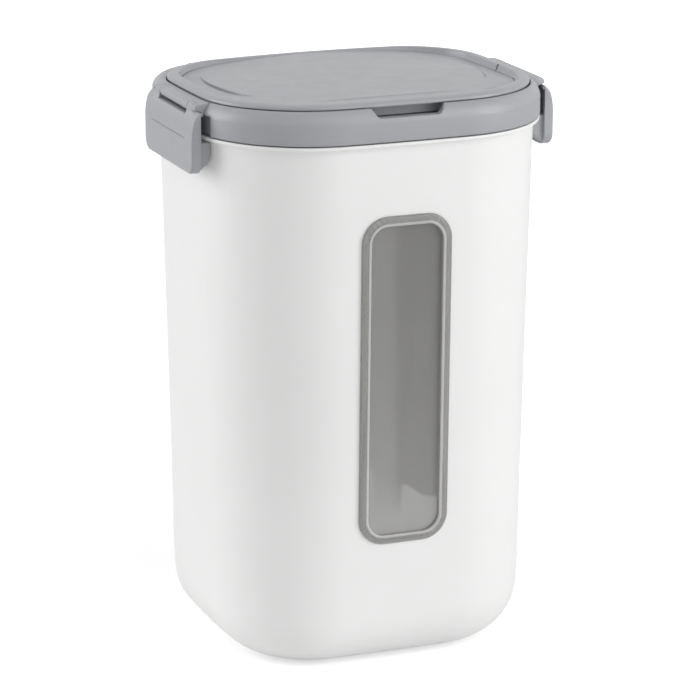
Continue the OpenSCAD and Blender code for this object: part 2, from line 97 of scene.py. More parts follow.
def stationsOf(back, front, backAngles, frontAngles):
    # (x, y, nx, ny) counter-clockwise from the middle of the right side, normals outwards
    def quarter(arcs, angles, sx, sy):
        return [(sx * onArcs(arcs, t)[0], sy * onArcs(arcs, t)[1], sx * cos(t), sy * sin(t))
                for t in angles]
    return (quarter(back, backAngles, 1, 1) + quarter(back, backAngles[::-1], -1, 1)[1:]
            + quarter(front, frontAngles, -1, -1)[1:] + quarter(front, frontAngles[::-1], 1, -1)[1:-1])


backArcs = planArcs(plan["halfWidth"], plan["halfDepth"], plan["backRadius"], faceR, sideR)
frontArcs = planArcs(plan["halfWidth"], plan["halfDepth"], plan["frontRadius"], faceR, sideR)
flapIn = flapPlan["inset"]
flapBackArcs = planArcs(plan["halfWidth"] - flapIn, plan["halfDepth"] - flapPlan["backInset"],
                        flapPlan["backRadius"] - flapIn, faceR - flapIn, sideR - flapIn)
flapFrontArcs = planArcs(plan["halfWidth"] - flapIn, plan["halfDepth"] - flapIn,
                         plan["frontRadius"] - flapIn, faceR - flapIn, sideR - flapIn)


def inset(st, d):
    return st[0] - st[2] * d, st[1] - st[3] * d


def fall(x, y):
    return (y + plan["halfDepth"]) / (2 * plan["halfDepth"]) * (
        lidTop["backFall"] + lidTop["sideFall"] * (x / plan["halfWidth"]) ** 2)


def softMin(a, b, k):
    h = max(k - abs(a - b), 0) / k
    return min(a, b) - h * h * k / 4


def smooth(a, b, x):
    t = min(1, max(0, (x - a) / (b - a)))
    return t * t * (3 - 2 * t)


# mesh helpers: a skin is a list of rings of points in mm
def softened(rings, radii, steps=4, closed=True):
    # rounds the corners of the section that the rings draw at each station
    out = []
    last = len(rings) - 1
    for k, ring in enumerate(rings):
        if not radii[k] or (not closed and k in (0, last)):
            out.append(ring)
            continue
        before, after = rings[k - 1], rings[(k + 1) % len(rings)]
        fresh = [[] for _ in range(steps + 1)]
        for a, p, b in zip(before, ring, after):
            a, p, b = Vector(a), Vector(p), Vector(b)
            u, v = a - p, b - p
            cut = min(radii[k], 0.46 * u.length, 0.46 * v.length)
            u = p + u.normalized() * cut
            v = p + v.normalized() * cut
            for s in range(steps + 1):
                t = s / steps
                fresh[s].append(u * (1 - t) ** 2 + p * (2 * t * (1 - t)) + v * t * t)
        out += fresh
    return out


def skin(rings, closed=False):
    n, m = len(rings[0]), len(rings)
    points = [Vector(p) for ring in rings for p in ring]
    faces = []
    for j in range(m if closed else m - 1):
        k = (j + 1) % m
        faces += [(j * n + i, j * n + (i + 1) % n, k * n + (i + 1) % n, k * n + i) for i in range(n)]
    if not closed:
        faces += [tuple(range(n))[::-1], tuple((m - 1) * n + i for i in range(n))]
    return points, faces


def shaded(mesh, sharp=38):
    mesh.shade_smooth()
    mesh.set_sharp_from_angle(angle=radians(sharp))


def placed(name, data):
    obj = bpy.data.objects.new(name, data)
    bpy.context.scene.collection.objects.link(obj)
    return obj


def meshObject(name, skins):
    bm = bmesh.new()
    for points, faces in skins:
        verts = [bm.verts.new(p * mm) for p in points]
        for f in faces:
            try:
                bm.faces.new([verts[i] for i in f])
            except ValueError:
                pass
    bmesh.ops.remove_doubles(bm, verts=bm.verts, dist=2e-6)
    bmesh.ops.dissolve_degenerate(bm, edges=bm.edges, dist=1e-6)
    bmesh.ops.recalc_face_normals(bm, faces=bm.faces)
    mesh = bpy.data.meshes.new(name)
    bm.to_mesh(mesh)
    bm.free()
    shaded(mesh)
    return placed(name, mesh)


def applied(obj):
    # bakes the live modifiers into a plain mesh
    depsgraph = bpy.context.evaluated_depsgraph_get()
    mesh = bpy.data.meshes.new_from_object(obj.evaluated_get(depsgraph))
    obj.modifiers.clear()
    obj.data = mesh


def tube(axis, centre, rOuter, rInner, length, bevel=0.35, around=40):
    # ring-shaped barrel along x or y
    h, b = length / 2, bevel
    section = [(-h + b, rOuter), (-h + b * 0.3, rOuter - b * 0.3), (-h, rOuter - b), (-h, rInner + 0.15),
               (-h + 0.15, rInner), (h - 0.15, rInner), (h, rInner + 0.15), (h, rOuter - b),
               (h - b * 0.3, rOuter - b * 0.3), (h - b, rOuter)]
    rings = []
    for along, r in section:
        ring = []
        for i in range(around):
            a = 2 * pi * i / around
            c, s = r * cos(a), r * sin(a)
            ring.append((centre[0] + along, centre[1] + c, centre[2] + s) if axis == "x"
                        else (centre[0] + c, centre[1] + along, centre[2] + s))
        rings.append(ring)
    return skin(rings, closed=True)


def bar(section, start, end, bevel=0.4):
    # solid along x with a convex section, drawn in depth and height, with eased ends
    cx = sum(p[0] for p in section) / len(section)
    cy = sum(p[1] for p in section) / len(section)
    rings = []
    for along, shrink in ((start, bevel), (start + bevel * 0.3, bevel * 0.3), (start + bevel, 0),
                          (end - bevel, 0), (end - bevel * 0.3, bevel * 0.3), (end, bevel)):
        ring = []
        for a, b in section:
            k = 1 - shrink / hypot(a - cx, b - cy)
            ring.append((along, cx + (a - cx) * k, cy + (b - cy) * k))
        rings.append(ring)
    return skin(rings)


# materials
def newMaterial(name):
    mat = bpy.data.materials.new(name)
    mat.use_nodes = True
    tree = mat.node_tree
    return mat, tree, tree.nodes["Principled BSDF"], tree.nodes.new("ShaderNodeTexCoord")


def setInputs(node, values):
    for name, value in values.items():
        node.inputs[name].default_value = value


def wire(tree, rows):
    for node, output, target, entry in rows:
        tree.links.new(node.outputs[output], target.inputs[entry])


def noiseFrom(tree, coord, scale, detail, rough=0.5, stretch=None):
    noise = tree.nodes.new("ShaderNodeTexNoise")
    setInputs(noise, {"Scale": scale, "Detail": detail, "Roughness": rough})
    source = coord.outputs["Object"]
    if stretch:
        mapping = tree.nodes.new("ShaderNodeMapping")
        setInputs(mapping, {"Scale": stretch})
        tree.links.new(source, mapping.inputs["Vector"])
        source = mapping.outputs["Vector"]
    tree.links.new(source, noise.inputs["Vector"])
    return noise.outputs["Fac"]


def toRange(tree, source, low, high):
    node = tree.nodes.new("ShaderNodeMapRange")
    setInputs(node, {"From Min": 0.3, "From Max": 0.7, "To Min": low, "To Max": high})
    tree.links.new(source, node.inputs["Value"])
    return node.outputs["Result"]


def mixedColor(tree, source, look):
    # base colour that drifts between the look's two colours
    mix = tree.nodes.new("ShaderNodeMix")
    mix.data_type = "RGBA"
    setInputs(mix, {"A": (*look["color"], 1), "B": (*look["color2"], 1)})
    tree.links.new(toRange(tree, source, 0, 1), mix.inputs["Factor"])
    tree.links.new(mix.outputs["Result"], tree.nodes["Principled BSDF"].inputs["Base Color"])


def mixedRough(tree, source, middle, drift):
    rough = toRange(tree, source, middle - drift, middle + drift)
    tree.links.new(rough, tree.nodes["Principled BSDF"].inputs["Roughness"])


def bumped(tree, height, strength, distance, under=None):
    bump = tree.nodes.new("ShaderNodeBump")
    setInputs(bump, {"Strength": strength, "Distance": distance})
    tree.links.new(height, bump.inputs["Height"])
    if under:
        tree.links.new(under, bump.inputs["Normal"])
    tree.links.new(bump.outputs["Normal"], tree.nodes["Principled BSDF"].inputs["Normal"])
    return bump.outputs["Normal"]


# noise scales, and bump depths in metres
grain = {"drift": 14, "sheen": 90, "sinks": 22, "sinkDepth": 0.0006, "spark": 2600, "sparkDepth": 0.00008,
         "haze": 20, "smear": 120, "ripple": 40, "dust": 70, "skin": 300, "pores": 900, "thin": 0.0001,
         "streaks": 1200, "streakDepth": 0.00005}


def mouldedPlastic(name, look, withPaintedGlow=False):
    # satin moulded plastic: slow drift of tone, soft sink marks and a fine spark-eroded grain
    mat, tree, bsdf, coord = newMaterial(name)
    mixedColor(tree, noiseFrom(tree, coord, grain["drift"], 2), look)
    mixedRough(tree, noiseFrom(tree, coord, grain["sheen"], 4), look["rough"], 0.04)
    sinks = bumped(tree, noiseFrom(tree, coord, grain["sinks"], 1), look["sink"], grain["sinkDepth"])
    bumped(tree, noiseFrom(tree, coord, grain["spark"], 3, 0.6), look["grain"], grain["sparkDepth"], sinks)
    setInputs(bsdf, {"IOR": 1.49, "Specular IOR Level": look["gloss"]})
    # painted glow: emission strength read from a point attribute of the mesh
    if withPaintedGlow:
        paintedGlowNode = tree.nodes.new("ShaderNodeAttribute")
        paintedGlowNode.attribute_name = "through"
        wire(tree, [(paintedGlowNode, "Fac", bsdf, "Emission Strength")])
        setInputs(bsdf, {"Emission Color": (1, 1, 1, 1)})
    return mat


binWhite = mouldedPlastic("binWhite", {"color": (0.82, 0.82, 0.815), "color2": (0.805, 0.805, 0.80),
                                       "rough": 0.36, "sink": 0.06, "grain": 0.06, "gloss": 0.5},
                          withPaintedGlow=True)
lidGrey = mouldedPlastic("lidGrey", {"color": (0.370, 0.380, 0.400), "color2": (0.360, 0.370, 0.390),
                                     "rough": 0.38, "sink": 0.04, "grain": 0.16, "gloss": 0.6})
linerGrey = mouldedPlastic("linerGrey", {"color": (0.50, 0.505, 0.515), "color2": (0.485, 0.49, 0.50),
                                         "rough": 0.45, "sink": 0.08, "grain": 0.2, "gloss": 0.5})


def smokyPlastic(name, look):
    # tinted see-through plastic: part of the light goes through, part comes back as a milky grey
    mat, tree, bsdf, coord = newMaterial(name)
    mixedColor(tree, noiseFrom(tree, coord, grain["haze"], 2), look)
    mixedRough(tree, noiseFrom(tree, coord, grain["smear"], 3), look["rough"], 0.03)
    bumped(tree, noiseFrom(tree, coord, grain["ripple"], 1), 0.05, grain["thin"])
    setInputs(bsdf, {"Alpha": look["cover"], "IOR": 1.5})
    return mat


smokyClear = smokyPlastic("smokyClear", {"color": (0.300, 0.296, 0.285), "color2": (0.285, 0.281, 0.270),
                                         "rough": 0.16, "cover": 0.38})
# a lighter, more solid copy of the smoky plastic for the bead round the pane: a painted highlight along its
# ridge
paintedHighlightPlastic = smokyPlastic("paintedHighlightPlastic", {"color": (0.62, 0.62, 0.61), "color2": (0.58, 0.58, 0.57),
                                             "rough": 0.22, "cover": 0.75})


def siliconeRubber(name, look):
    mat, tree, bsdf, coord = newMaterial(name)
    mixedColor(tree, noiseFrom(tree, coord, grain["dust"], 3), look)
    mixedRough(tree, noiseFrom(tree, coord, grain["skin"], 3), 0.56, 0.06)
    bumped(tree, noiseFrom(tree, coord, grain["pores"], 2), 0.15, grain["thin"])
    setInputs(bsdf, {"Subsurface Weight": 0.2, "Subsurface Scale": 0.002})
    return mat


sealWhite = siliconeRubber("sealWhite", {"color": (0.74, 0.74, 0.72), "color2": (0.70, 0.70, 0.68)})


def drawnSteel(name, look, stretch):
    # drawn wire: fine streaks along the pin
    mat, tree, bsdf, coord = newMaterial(name)
    setInputs(bsdf, {"Metallic": 1.0})
    streaks = noiseFrom(tree, coord, grain["streaks"], 4, 0.6, stretch)
    mixedColor(tree, streaks, look)
    mixedRough(tree, streaks, 0.30, 0.08)
    bumped(tree, streaks, 0.12, grain["streakDepth"])
    return mat


pinLook = {"color": (0.56, 0.57, 0.58), "color2": (0.46, 0.47, 0.48)}
steelX = drawnSteel("pinSteelX", pinLook, (0.04, 1, 1))
steelY = drawnSteel("pinSteelY", pinLook, (1, 0.04, 1))
print("materials ready")


def dress(obj, mat, body, node):
    obj.data.materials.clear()
    obj.data.materials.append(mat)
    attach(obj, body)
    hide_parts(node)


# bin
binSize = {"flangeTop": 305.7, "flangeThick": 2.0, "flangeIn": 0.3, "wallIn": 3.8, "baseIn": 10.1,
           "baseRadius": 33.0, "innerRadius": 30.6, "footHeight": 1.5, "footWidth": 4.0, "floor": 4.1,
           "rimIn": 4.6, "rimThick": 2.2, "rimTop": 313.0, "neck": 299.7}
# painted glow: an emission that lightens the bin, a little on the outside and more towards its bottom, and
# on the inside most on the floor and the back wall
paintedGlow = {"outside": 0.055, "low": 0.03, "back": 0.12, "floor": 0.26, "floorTop": 66.5, "edge": (60, 70),
         "dip": 17.5, "dipSlope": 0.5, "dipFrom": 48}


def paintedGlowDip(x, y):
    # how far the edge of the painted glow on the bottom has sunk towards the sides
    side = max(0, abs(x) - paintedGlow["dipFrom"])
    return min(paintedGlow["dip"], paintedGlow["dipSlope"] * side) if y > 0 else paintedGlow["dip"]


def binRings(b):
    under = b["flangeTop"] - b["flangeThick"]
    foot = b["baseIn"] + b["baseRadius"]
    inner = b["rimIn"] + b["rimThick"]
    rows = [(foot + b["footWidth"] + 0.3, b["footHeight"], 0), (foot + b["footWidth"] - 0.1, 0, 0.3)]
    rows += [(foot - b["baseRadius"] * sin(t), b["baseRadius"] * (1 - cos(t)), 0)
             for t in (radians(a) for a in range(0, 91, 5))]
    rows += [(b["baseIn"] + (b["wallIn"] - b["baseIn"]) * k / 9,
              b["baseRadius"] + (under - b["baseRadius"]) * k / 9, 0) for k in range(1, 9)]
    rows += [(b["wallIn"], under, 1.3), (b["flangeIn"], under, 0.8), (b["flangeIn"], b["flangeTop"], 0.45),
             (b["rimIn"], b["flangeTop"], 0.5), (b["rimIn"], b["rimTop"], 0.7), (inner, b["rimTop"], 0.7),
             (inner, b["neck"], 2.0)]
    innerBase = foot - b["innerRadius"]
    rows += [(inner + (innerBase - inner) * k / 7, b["neck"] + (b["baseRadius"] - b["neck"]) * k / 7, 0)
             for k in (1, 2, 3, 4, 5, 6, 6.1, 6.14)]   # the last two bound the bottom's painted glow
    start = degrees(acos((b["baseRadius"] - b["floor"]) / b["innerRadius"]))
    rows += [(foot - b["innerRadius"] * sin(t), b["baseRadius"] - b["innerRadius"] * cos(t), 0)
             for t in (radians(90 - (90 - start) * k / 14) for k in range(15))]
    stations = stationsOf(backArcs, frontArcs, spread(backArcs, 3.2), spread(frontArcs, 3.2))
    rings = []
    for d, z, r in rows:
        dips = d > inner and paintedGlow["edge"][0] < z < paintedGlow["edge"][1]
        rings.append([(*inset(st, d), z - dips * paintedGlowDip(st[0], st[1])) for st in stations])
    return softened(rings, [r for d, z, r in rows], closed=False)


window = {"width": 53.2, "height": 189.0, "bottom": 75.0, "radius": 15.0, "rim": 5.0, "thick": 2.4,
          "seat": 1.0, "seal": 0.5, "lip": 1.4, "pane": 2.0, "gap": 0.3, "bead": (3.75, 5.3)}
windowMid = window["bottom"] + window["height"] / 2
taper = binSize["baseIn"] - binSize["wallIn"]
wallTop = binSize["flangeTop"] - binSize["flangeThick"]
wallRun = wallTop - binSize["baseRadius"]
lean = atan(taper / wallRun)
wallY = -(plan["halfDepth"] - binSize["wallIn"] - taper * (wallTop - windowMid) / wallRun)


def onWall(u, v, w):
    # u to the right, v up the wall, w out of the wall, from the middle of the window
    return (u, wallY - v * sin(lean) - w * cos(lean),
            windowMid + v * cos(lean) - w * sin(lean))


def roundRect(width, height, radius, per=14):
    hw, hh = width / 2 - radius, height / 2 - radius
    return [(cx + radius * cos(a), cy + radius * sin(a))
            for q, (cx, cy) in enumerate(((hw, hh), (-hw, hh), (-hw, -hh), (hw, -hh)))
            for a in (pi / 2 * (q + i / per) for i in range(per + 1))]


def wallRings(rows):
    # rows: inset from the flange's edge, distance out of the wall
    w, h, r = window["width"], window["height"], window["radius"]
    return [[onWall(u, v, out) for u, v in roundRect(w - 2 * d, h - 2 * d, max(r - d, 0.5))]
            for d, out in rows]


def wallCutter(name, d, back, front):
    return meshObject(name, [skin(wallRings([(d, back), (d, front)]))])


def cutWith(obj, cutters):
    for cutter in cutters:
        mod = obj.modifiers.new("cut", "BOOLEAN")
        mod.operation = "DIFFERENCE"
        mod.solver = "EXACT"
        mod.object = cutter
    applied(obj)
    for cutter in cutters:
        bpy.data.objects.remove(cutter)
    shaded(obj.data, 30)


binBody = meshObject("bin_shell", [skin(binRings(binSize))])
cutWith(binBody, [wallCutter("seatCut", -window["gap"], -window["seat"], 12),
                  wallCutter("holeCut", window["rim"] - window["gap"], -15, 5)])
dress(binBody, binWhite, "bin", "bin_body")
# painted glow per point: strongest on the floor inside, then the back wall inside, faint on the outside and
# a little more towards its bottom, none on the mouth rim and the flange top
through = binBody.data.attributes.new("through", "FLOAT", "POINT")
flangeZ = binSize["flangeTop"]
for i, vert in enumerate(binBody.data.vertices):
    n, c = vert.normal, vert.co / mm
    inside = (n.x * c.x + n.y * c.y < -20 * (1 - abs(n.z)) and abs(n.z) < 0.9) or (n.z > 0.3 and c.z < 60)
    if inside and c.z < paintedGlow["floorTop"] - paintedGlowDip(c.x * 1.08, c.y):
        value = paintedGlow["floor"]
    elif inside and c.z < binSize["neck"] + 0.3:
        value = paintedGlow["back"] * smooth(0.955, 0.995, -n.y)
    elif inside or c.z > flangeZ + 0.3 or (c.z > flangeZ - 0.1 and abs(n.z) > 0.9):
        value = 0                                      # mouth rim and top of the flange
    else:
        value = paintedGlow["outside"] + paintedGlow["low"] * (1 - smooth(20, 170, c.z))
    through.data[i].value = value
print("bin made,", len(binBody.data.polygons), "faces")


# window: a flange over the seat, a ridge round the pane, and the sunken pane
def windowRings(s):
    face = s["seal"] - s["seat"]
    front = face + s["thick"]
    pane = -s["seat"] - 0.2
    rows = [(s["rim"], pane - s["pane"], 0.3), (s["rim"], face, 0.2), (0, face, 0.3), (0, front - 0.5, 0.5),
            (0.9, front - 0.1, 0.7), (3.5, front - 0.25, 0.3), (3.9, front + 0.1, 0.35),
            (5.0, front + 0.1, 0.45),
            (s["rim"] + s["lip"] * 0.7, front - 1.0, 0.4), (s["rim"] + s["lip"], pane, 0.5),
            (s["rim"] + s["lip"] + 6, pane, 0)]
    return softened(wallRings([(d, w) for d, w, r in rows]), [r for d, w, r in rows], closed=False)


windowPanel = meshObject("window_pane", [skin(windowRings(window))])
dress(windowPanel, smokyClear, "bin", "window_panel")
windowPanel.data.materials.append(paintedHighlightPlastic)
for face in windowPanel.data.polygons:
    # the bead round the pane takes the lighter plastic, a painted highlight along the ridge
    u, v = face.center.x / mm, (face.center.z / mm - windowMid) / cos(lean)
    du, dv = window["width"] / 2 - abs(u), window["height"] / 2 - abs(v)
    edge, r = min(du, dv), window["radius"]
    if du < r and dv < r:
        edge = r - hypot(r - du, r - dv)
    if face.normal.y < -0.2 and window["bead"][0] < edge < window["bead"][1]:
        face.material_index = 1


# seals: one rounded section carried along the outline by a node tree
def sealTree():
    tree = bpy.data.node_groups.new("sealAlongPath", "GeometryNodeTree")
    for name, way, kind in (("Geometry", "INPUT", "Geometry"), ("Width", "INPUT", "Float"),
                            ("Height", "INPUT", "Float"), ("Rounding", "INPUT", "Float"),
                            ("Material", "INPUT", "Material"), ("Geometry", "OUTPUT", "Geometry")):
        tree.interface.new_socket(name, in_out=way, socket_type="NodeSocket" + kind)
    source, sink = tree.nodes.new("NodeGroupInput"), tree.nodes.new("NodeGroupOutput")
    toCurve, upright, section, fillet, sweep, real, paint, shade = (
        tree.nodes.new("GeometryNode" + kind) for kind in
        ("MeshToCurve", "SetCurveNormal", "CurvePrimitiveQuadrilateral", "FilletCurve", "CurveToMesh",
         "RealizeInstances", "SetMaterial", "SetShadeSmooth"))
    upright.mode = "Z_UP"
    fillet.mode = "POLY"
    setInputs(fillet, {"Count": 4})
    wire(tree, [(source, "Geometry", toCurve, "Mesh"), (toCurve, "Curve", upright, "Curve"),
                (source, "Width", section, "Width"), (source, "Height", section, "Height"),
                (section, "Curve", fillet, "Curve"), (source, "Rounding", fillet, "Radius"),
                (upright, "Curve", sweep, "Curve"), (fillet, "Curve", sweep, "Profile Curve"),
                (sweep, "Mesh", shade, "Geometry"), (shade, "Geometry", real, "Geometry"),
                (real, "Geometry", paint, "Geometry"), (source, "Material", paint, "Material"),
                (paint, "Geometry", sink, "Geometry")])
    return tree


seals = sealTree()


def sealAlong(name, path, size):
    # path: closed list of points in mm, in a level plane
    mesh = bpy.data.meshes.new(name)
    n = len(path)
    mesh.from_pydata([Vector(p) * mm for p in path], [(i, (i + 1) % n) for i in range(n)], [])
    obj = placed(name, mesh)
    mod = obj.modifiers.new("seal", "NODES")
    mod.node_group = seals
    values = {"Width": size["width"] * mm, "Height": size["height"] * mm,
              "Rounding": size["rounding"] * mm, "Material": sealWhite}
    for item in seals.interface.items_tree:
        if item.in_out == "INPUT" and item.name in values:
            mod[item.identifier] = values[item.name]
    applied(obj)
    bm = bmesh.new()
    bm.from_mesh(obj.data)
    bmesh.ops.remove_doubles(bm, verts=bm.verts, dist=1e-6)
    bmesh.ops.recalc_face_normals(bm, faces=bm.faces)
    bm.to_mesh(obj.data)
    bm.free()
    return obj


# lid frame
lid = {"skirtBottom": 306.5, "skirtThick": 2.2, "shoulderWidth": 5.0, "shoulderHeight": 8.0,
       "shoulderEase": 1.3, "deck": 318.3, "deckUnder": 316.1, "mouthIn": 11.0, "mouthLip": 6.0,
       "plugIn": 7.7, "plugThick": 2.0, "plugBottom": 306.0, "recessHalf": 22.0, "recessEnd": 3.6,
       "recessHeight": 5.2, "ledge": 322.1, "bayHalf": 66.5, "bayBack": 83.6,
       "pocketHalf": 41.6, "pocketDeep": 2.4, "pocketBack": 1.6, "pocketTop": 317.45}
eave = {"x": 102.0, "z": 320.5, "radius": 3.0, "half": 35.0, "notchIn": 22.0, "notchOut": 31.0,
        "notchGap": 0.08, "ledge": 319.85, "frontEasing": 1.5, "backEasing": 4.5}
shoulderAngles = [0, 5, 10, 14, 17, 19, 21, 23, 25, 28, 32, 36, 40, 45, 50, 55, 60, 65, 70, 74, 78, 81,
                  84, 87, 90]


def denseOutline(d):
    # flap outline, d further in, as a fine polyline
    angles = [pi / 2 * i / 150 for i in range(151)]
    return [inset(st, d) for st in stationsOf(flapBackArcs, flapFrontArcs, angles, angles)]


def hitFrom(stations, polyline):
    # where the line going in from each station meets the polyline
    a = np.array(polyline)
    b = np.roll(a, -1, axis=0)
    hits = []
    for x, y, nx, ny in stations:
        # distance to the line through the station, along its normal
        sa = (a[:, 0] - x) * ny - (a[:, 1] - y) * nx
        sb = (b[:, 0] - x) * ny - (b[:, 1] - y) * nx
        cross = np.where((sa <= 0) != (sb <= 0))[0]
        best = None
        for i in cross:
            t = sa[i] / (sa[i] - sb[i])
            q = a[i] + t * (b[i] - a[i])
            s = -((q[0] - x) * nx + (q[1] - y) * ny)
            if s > -1 and (best is None or s < best[0]):
                best = (s, q[0], q[1])
        hits.append((best[1], best[2]))
    return hits


def recessLimit(x):
    # height of the finger recess's floor and sloping ends
    steep = (lid["recessHeight"] + 1) / lid["recessEnd"]
    u = (abs(x) - (lid["recessHalf"] - lid["recessEnd"])) * steep
    k = 3.0
    h = max(k - abs(u), 0) / k
    return lidTop["seam"] - lid["recessHeight"] + max(u, 0) + h * h * k / 4


def topPlane(x, y):
    return lidTop["seam"] - 0.1 - fall(x, y)


def eaveSection(skirtX, y):
    # rounded eave that carries the latch: from the skirt, under, round the front and over to the seam
    cx, cz, r = eave["x"], eave["z"], eave["radius"]
    out = [(skirtX, cz - r - 0.7), (skirtX, cz - r - 0.3), (skirtX + 0.3, cz - r)]
    out += [(cx + r * cos(a), cz + r * sin(a))
            for a in (radians(-90 + 180 * i / 16) for i in range(17))]
    inner = plan["halfWidth"] - lid["shoulderWidth"]
    out += [(cx + (inner - cx) * i / 5, cz + r + (topPlane(inner, y) + 0.3 - cz - r) * i / 5)
            for i in range(1, 6)]
    if abs(y) > eave["notchOut"]:                     # only a ledge is left past the barrels
        out[2:] = [(x, -softMin(-z, -eave["ledge"], 0.4)) for x, z in out[2:]]
    return [(x, softMin(z, topPlane(x, y), 0.5)) for x, z in out]


def notchSection(skirtX, y):
    # pocket behind a latch barrel
    cx, cz, r = eave["x"], eave["z"], eave["radius"] + eave["notchGap"]
    top = topPlane(cx - 1.5, y)
    first = -acos(max(-1, min(1, (skirtX - cx) / r)))
    last = -pi - asin(min(0.98, (top - cz) / r))
    out = [(skirtX, cz - r - 0.7), (skirtX, cz + r * sin(first) - 0.1)]
    out += [(cx + r * cos(a), cz + r * sin(a))
            for a in (first + (last - first) * i / 17 for i in range(18))]
    inner = plan["halfWidth"] - lid["shoulderWidth"]
    edge = out[-1][0]
    return out + [(x, topPlane(x, y)) for x in (edge + (inner - edge) * i / 5 for i in range(1, 6))]


def shoulderOf(st):
    # skirt's foot to the seam, by way of the eave or a notch where a latch hangs
    x, y, nx, ny = st
    width, height = lid["shoulderWidth"], lid["shoulderHeight"]
    shoulder = []
    for a in shoulderAngles:
        t = radians(a)
        px, py = inset(st, width - width * cos(t) ** lid["shoulderEase"])
        rise = sin(t) ** lid["shoulderEase"] * (height - fall(px, py))
        shoulder.append((px, py, lidTop["seam"] - height + rise))
    if abs(nx) <= 0.9 or abs(y) >= eave["half"] + 0.01:
        return shoulder
    sx = copysign(1, x)
    if eave["notchIn"] < abs(y) < eave["notchOut"]:
        return [(sx * a, y, b) for a, b in notchSection(abs(x), y)]
    easing = eave["frontEasing"] if y < 0 else eave["backEasing"]
    b = sqrt(max(0, 1 - (max(0, abs(y) - eave["half"] + easing) / easing) ** 2))
    full = [(sx * p, y, q) for p, q in eaveSection(abs(x), y)]
    return [tuple(u * (1 - b) + v * b for u, v in zip(p, q)) for p, q in zip(shoulder, full)]


def frameRings():
    bay, half, thick = lid["bayHalf"], lid["recessHalf"], lid["skirtThick"]
    recessX = [half - 6.5 + 0.3 * i for i in range(26)] + [0.01, 3, 6, 9, 11]
    sideY = [20, 21.95, 22.05, 24, 26.5, 29, 30.95, 31.05, 32.5, 33.5, 34.0, 34.4, 34.7, 34.9, 35.0, 35.2,
             37, 39.5, lid["pocketHalf"] - 0.15, lid["pocketHalf"] + 0.15]
    stations = stationsOf(backArcs, frontArcs, spread(backArcs, 3.0, [bay - 0.1, bay + 0.1], sideY),
                          spread(frontArcs, 3.0, recessX, sideY))
    seat = hitFrom(stations, denseOutline(-flapPlan["gap"]))
    mouth = hitFrom(stations, denseOutline(lid["mouthIn"]))
    lip = hitFrom(stations, denseOutline(lid["mouthIn"] - lid["plugThick"]))
    radii = [0.3, 0.4, 0.5] + [0] * len(shoulderAngles) + [0.2, 0.3, 0.6, 0.5, 0.5, 0.3, 0.3, 0.5, 0.5, 0.3]
    mouthLow, plugIn = lid["deck"] - lid["mouthLip"], lid["plugIn"] + lid["plugThick"]
    sections = []
    for st, s, m, l in zip(stations, seat, mouth, lip):
        x, y, nx, ny = st
        pts = [(*inset(st, thick), lid["deckUnder"]), (*inset(st, thick), lid["skirtBottom"]),
               (x, y, lid["skirtBottom"])] + shoulderOf(st)
        inBay = y > 0 and abs(x) < bay
        wall = (x, lid["bayBack"]) if inBay else s
        pts += [(*wall, topPlane(*wall)), (*wall, lid["deck"]), (*m, lid["deck"]), (*m, mouthLow),
                (*l, mouthLow), (*l, lid["deckUnder"]), (*inset(st, plugIn), lid["deckUnder"]),
                (*inset(st, plugIn), lid["plugBottom"]), (*inset(st, lid["plugIn"]), lid["plugBottom"]),
                (*inset(st, lid["plugIn"]), lid["deckUnder"])]
        if abs(nx) > 0.9 and abs(y) < lid["pocketHalf"]:
            # the skirt is sunk where the latch covers it
            for k in range(6):
                px, py, pz = pts[k]
                if pz < lid["pocketTop"]:
                    px -= copysign(lid["pocketDeep"] if k > 1 else lid["pocketBack"], x)
                pts[k] = (px, py, pz)
        first, last = 3, 3 + len(shoulderAngles) + 1
        for k in range(first, last):
            px, py, pz = pts[k]
            if y < -40 and abs(x) < 30:
                pz = softMin(pz, recessLimit(px), 0.7)
            if py > 70:
                pz = softMin(pz, lid["ledge"], 0.3)
                if inBay and k < last - 1:
                    py = max(py, lid["bayBack"] + 0.3)
            pts[k] = (px, py, pz)
        sections.append(pts)
    return softened([list(ring) for ring in zip(*sections)], radii, steps=3)


hinge = {"y": 81.0, "z": 320.9, "radius": 2.2, "x": 46.0, "length": 13.0, "knuckle": 6.0, "gap": 0.4,
         "bore": 1.06}


def archSection(h, foot, wide):
    # round top on straight legs, in depth and height
    out = [(h["y"] + wide, foot)]
    out += [(h["y"] + h["radius"] * cos(a), h["z"] + h["radius"] * sin(a))
            for a in (radians(180 * i / 18) for i in range(19))]
    return out + [(h["y"] - wide, foot)]


knuckles = []
for s in (-1, 1):
    for k in (-1, 1):
        mid = s * hinge["x"] + k * (hinge["length"] / 2 + hinge["gap"] + hinge["knuckle"] / 2)
        knuckles.append(bar(archSection(hinge, lid["deck"] - 0.8, hinge["radius"] + 0.3),
                            mid - hinge["knuckle"] / 2, mid + hinge["knuckle"] / 2))
lidFrame = meshObject("lid_ring", [skin(frameRings(), closed=True)] + knuckles)
dress(lidFrame, lidGrey, "lid", "lid_frame")
print("lid frame made,", len(lidFrame.data.polygons), "faces")

rimSeal = {"in": 5.0, "z": 314.7, "width": 4.8, "height": 2.8, "rounding": 0.5}
gasketStations = stationsOf(backArcs, frontArcs, spread(backArcs, 5), spread(frontArcs, 5))
lidGasket = sealAlong("rim_seal", [(*inset(st, rimSeal["in"]), rimSeal["z"]) for st in gasketStations],
                      rimSeal)
dress(lidGasket, sealWhite, "lid", "lid_gasket")


